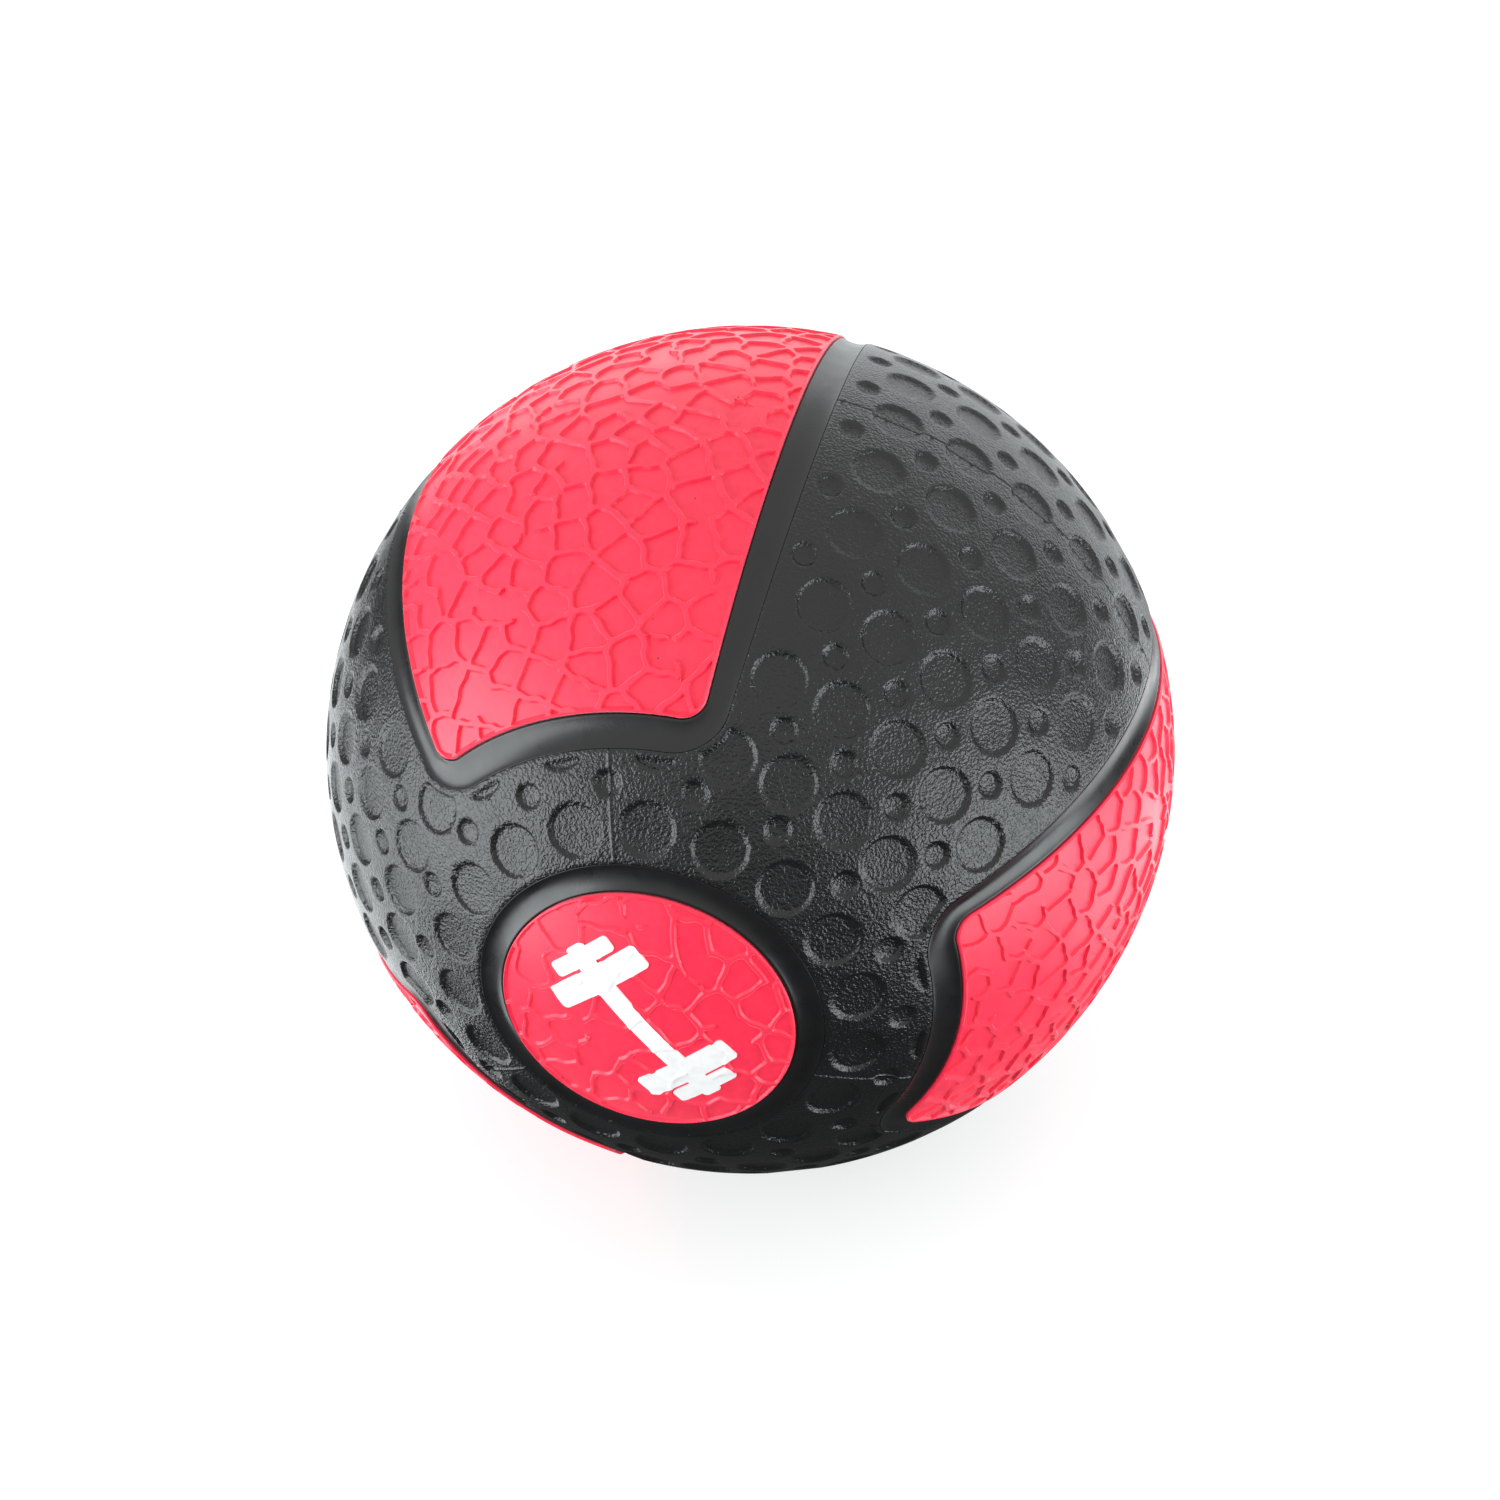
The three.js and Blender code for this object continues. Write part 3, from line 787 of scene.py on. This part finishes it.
def buildValve():
    stem, plug, needle, depth = valve["stem"], valve["plug"], valve["needle"], valve["depth"]
    seat = plug + valve["clearance"]
    buildTurned("valve_stem", [(seat, depth), (stem, depth), *roundedTop(stem, seat, valve["stemDrop"])],
                "smooth", "smooth_black_rubber", "valve_housing")
    needleEnd = depth - valve["needleStop"]
    buildTurned("valve_needle_plug", [(0, depth), (plug, depth), *roundedTop(plug, needle, valve["plugDrop"]),
                                      (needle, needleEnd), (0, needleEnd)],
                "butyl", "butyl_rubber", "valve_plug")


# ---- smooth channels

# Sizes in mm. inner and outer are the gaps to the red panel and to the black one. The steps have to add up
# to an outline of at most 256 points, the most that a torus takes.
channel = {"inner": 0.2, "outer": 0.1, "cornerSteps": 24, "shortSteps": 27, "longSteps": 53,
           "innerLip": 0.15, "outerLip": 0.08, "depth": 1.0, "coveShape": 0.85, "bottom": 2.0,
           "sectionSteps": 26, "outerRound": 0.2, "innerRound": 0.75}


# The channel's section, as [mm out from the panel's edge, height], from its outer foot to its inner foot.
def channelSection(width):
    inner, outer = channel["inner"], width - channel["outer"]
    section = [(outer, -channel["bottom"])]
    for i in range(channel["sectionSteps"] + 1):
        t = 0.5 + 0.5 * math.cos(math.pi * i / channel["sectionSteps"])   # closer together at the lips
        out = inner + (outer - inner) * t
        lip = channel["innerLip"] + (channel["outerLip"] - channel["innerLip"]) * t
        cove = (channel["depth"] - lip) * (1 - (2 * t - 1) ** 2) ** channel["coveShape"]
        roll = 0
        for edgeIn, edgeRound in ((out - inner, channel["innerRound"]), (outer - out, channel["outerRound"])):
            roll += edgeRound - math.sqrt(max(edgeRound ** 2 - max(edgeRound - edgeIn, 0) ** 2, 0))
        section.append((out, -lip - cove - roll))
    section.append((inner, -channel["bottom"]))
    return section


# The outline of a rounded panel in degrees, anticlockwise from its first corner's start.
def roundedOutline(halfWidth, halfHeight, corner):
    across = corner / math.cos(math.radians(halfHeight))
    x, y = halfWidth - across, halfHeight - corner
    arcs = []
    for quarter, (cx, cy) in enumerate([(x, y), (-x, y), (-x, -y), (x, -y)]):
        turn = (quarter + np.linspace(0, 1, channel["cornerSteps"] + 1)) * math.pi / 2
        arcs.append(np.stack([cx + across * np.cos(turn), cy + corner * np.sin(turn)], axis=-1))
    points = []
    for quarter, arc in enumerate(arcs):
        count = channel["longSteps"] if quarter % 2 else channel["shortSteps"]
        share = (np.arange(1, count) / count)[:, None]
        points += [arc, arc[-1] * (1 - share) + arcs[(quarter + 1) % 4][0] * share]
    return np.concatenate(points)


def buildChannel(index):
    around = layout["panelAround"][index]
    section = channelSection(layout["channelWidth"] * mmPerDegree)
    rings = []
    cornerGrowth = (layout["channelCorner"] - layout["panelCorner"]) / layout["channelWidth"]
    for out, height in section:
        degrees = out / mmPerDegree
        outline = roundedOutline(layout["panelHalfWidth"] + degrees, layout["panelHalfHeight"] + degrees,
                                 layout["panelCorner"] + cornerGrowth * degrees)
        rings.append(onBall(around + outline[:, 0], outline[:, 1], (ballRadius + height) * mm))
    deselectAll()
    steps = len(rings[0])
    bpy.ops.mesh.primitive_torus_add(major_segments=steps, minor_segments=len(section))
    strip = bpy.context.object
    strip.name = f"smooth_channel_{places[index]}"
    assert len(strip.data.vertices) == steps * len(section)
    setPoints(strip, np.stack(rings, axis=1).reshape(-1, 3))
    finishPiece(strip, "smooth", "smooth_black_rubber", f"channel_strip_{places[index]}")
    print(strip.name, len(strip.data.polygons))


# ---- badges

badge = {"coarseCells": 44, "proud": 0.25, "fineCuts": 3, "edgeRound": 0.4, "bottom": 2.0, "ringSteps": 240}


# The direction of a place on a badge, by its mm across and up from the badge's middle.
def badgeDirections(u, v, side):
    tilt = np.hypot(u, v) / ballRadius
    turn = np.arctan2(v, u)
    flat = np.sin(tilt)
    return np.stack([side * flat * np.cos(turn), -side * np.cos(tilt), flat * np.sin(turn)], axis=-1)


badgeMiddles = {side: scatterCells((0, -side, 0), badgeCrackle, badgeCrackle["seed"]) for side in (1, -1)}


def buildBadge(place, side):
    cells = badge["coarseCells"]
    face = cellSlab(f"badge_face_{place}", cells, cells, lambda x, y: True, badge["fineCuts"])
    points = getPoints(face)
    u = points[:, 0] / cells * 2 - 1
    v = points[:, 1] / cells * 2 - 1
    reach = layout["badgeHalfAngle"] * mmPerDegree
    # the square sheet becomes a disc
    u, v = reach * u * np.sqrt(1 - v ** 2 / 2), reach * v * np.sqrt(1 - u ** 2 / 2)
    directions = badgeDirections(u, v, side)
    inside = reach - np.hypot(u, v)
    directions, height = crackled(face, directions, badgeMiddles[side], badgeCrackle, inside)
    top = ballRadius + badge["proud"] + height - edgeDrop(inside, badge["edgeRound"])
    radius = np.where(points[:, 2] > 0.5, top, ballRadius - badge["bottom"])
    setPoints(face, directions * radius[:, None] * mm)
    finishPiece(face, "red", "red_rubber", f"badge_disc_{place}", relief=True)


def buildBadgeRing(place, side):
    section = channelSection(layout["ringWidth"] * mmPerDegree)
    deselectAll()
    bpy.ops.mesh.primitive_circle_add(vertices=len(section), radius=1)
    ring = bpy.context.object
    ring.name = f"badge_channel_{place}"
    north = 90 - layout["badgeHalfAngle"] - np.array([s[0] for s in section]) / mmPerDegree
    setPoints(ring, onBall(0, side * north, (ballRadius + np.array([s[1] for s in section])) * mm))
    bpy.ops.object.mode_set(mode="EDIT")
    bpy.ops.mesh.select_all(action="SELECT")
    bpy.ops.mesh.spin(steps=badge["ringSteps"], angle=2 * math.pi, center=(0, 0, 0), axis=(0, 1, 0))
    bpy.ops.mesh.select_all(action="SELECT")
    bpy.ops.mesh.remove_doubles(threshold=0.00001)
    bpy.ops.object.mode_set(mode="OBJECT")
    finishPiece(ring, "smooth", "smooth_black_rubber", f"badge_ring_{place}")


mark = {"length": 54, "tilt": -50, "cell": 0.55, "above": 0.1, "below": 0.35, "corner": 1.1, "relief": 0.45,
        "barHalf": 0.05, "plates": [(0.245, 0.375, 0.26), (0.392, 0.475, 0.17)]}


# The printed dumbbell. A plate runs from one distance to another from the middle, and reaches its half-width,
# all as shares of the length. The sheet's lines run along every edge.
def buildMark(place, side):
    length, corner = mark["length"], mark["corner"]
    ends = sorted([0.5] + [end for low, high, wide in mark["plates"] for end in (low, high)])
    wides = sorted([mark["barHalf"]] + [wide for low, high, wide in mark["plates"]])
    uStops = [-end * length for end in reversed(ends)] + [end * length for end in ends]
    vStops = [-wide * length for wide in reversed(wides)] + [wide * length for wide in wides]
    uCounts = cellCounts(uStops, mark["cell"], 1 / mmPerDegree)
    vCounts = cellCounts(vStops, mark["cell"], 1 / mmPerDegree)

    def keepCell(x, y):
        u, v = abs(np.interp(x, uCounts, uStops)) / length, abs(np.interp(y, vCounts, vStops)) / length
        return v < mark["barHalf"] or any(low < u < high and v < wide for low, high, wide in mark["plates"])

    film = cellSlab(f"printed_dumbbell_{place}", uCounts[-1], vCounts[-1], keepCell, 1)
    points = getPoints(film)
    u, v = np.interp(points[:, 0], uCounts, uStops), np.interp(points[:, 1], vCounts, vStops)
    # the outer corners are drawn in to a round
    corners = [(0.5, 1, mark["barHalf"])]
    for low, high, wide in mark["plates"]:
        corners += [(high, 1, wide), (low, -1, wide)]
    for end, hand, wide in corners:
        intoU = hand * (np.abs(u) - end * length) + corner
        intoV = np.abs(v) - wide * length + corner
        near = (intoU > 0) & (intoV > 0) & (np.maximum(intoU, intoV) <= corner + 0.01)
        pull = np.maximum(intoU, intoV) / np.maximum(np.hypot(intoU, intoV), 1e-9)
        u = np.where(near, np.sign(u) * (np.abs(u) - hand * intoU * (1 - pull)), u)
        v = np.where(near, np.sign(v) * (np.abs(v) - intoV * (1 - pull)), v)
    tilt = math.radians(mark["tilt"])
    u, v = u * math.cos(tilt) - v * math.sin(tilt), u * math.sin(tilt) + v * math.cos(tilt)
    directions = badgeDirections(u, v, side)
    height = crackleHeight(crackleField(directions, badgeMiddles[side], badgeCrackle)[0], badgeCrackle)
    lift = np.interp(points[:, 2], [0, 1], [-mark["below"], mark["above"]])
    setPoints(film, directions * (ballRadius + badge["proud"] + mark["relief"] * height + lift)[:, None] * mm)
    finishPiece(film, "ink", "white_ink", f"badge_mark_{place}")


# ---- floor and backdrop

# They glow a little, so that they stay pale, and aren't mirrored in the rubber.
surround = {"floorSize": 24, "backdropRadius": 11, "glow": 0.62, "backdropGlow": 1.03}


def addSurround():
    deselectAll()
    bpy.ops.mesh.primitive_plane_add(size=surround["floorSize"], location=(0, 0, -ballRadius * mm))
    floor = bpy.context.object
    floor.name = "paleFloor"
    bpy.ops.mesh.primitive_uv_sphere_add(segments=64, ring_count=32, radius=surround["backdropRadius"])
    backdrop = bpy.context.object
    backdrop.name = "paleBackdrop"
    glows = ((floor, "#b8b8b8", surround["glow"]), (backdrop, "#000000", surround["backdropGlow"]))
    for thing, base, glow in glows:
        material = newMaterial(thing.name, {
            "Base Color": hexColour(base), "Roughness": 0.9, "Specular IOR Level": 0.0,
            "Emission Color": (1, 1, 1, 1), "Emission Strength": glow})[0]
        thing.data.materials.append(material)
        thing.visible_glossy = False
        thing.visible_diffuse = False
        thing.visible_shadow = False


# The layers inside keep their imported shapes.
def finishLayers():
    layers = {"bladder": "butyl", "nylon_winding": "nylon", "carcass_front_half": "weighted",
              "carcass_rear_half": "weighted"}
    for name, material in layers.items():
        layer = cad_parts[name]
        layer.data.materials.clear()
        layer.data.materials.append(materials[material])
    print("inner layers:", len(layers))


addCamera()
addLights()
finishLayers()
for index in range(3):
    buildRedPanel(index)
    buildChannel(index)
    buildBlackPanel(index)
for place, side in (("front", 1), ("rear", -1)):
    buildBadge(place, side)
    buildBadgeRing(place, side)
    buildMark(place, side)
buildValve()
addSurround()
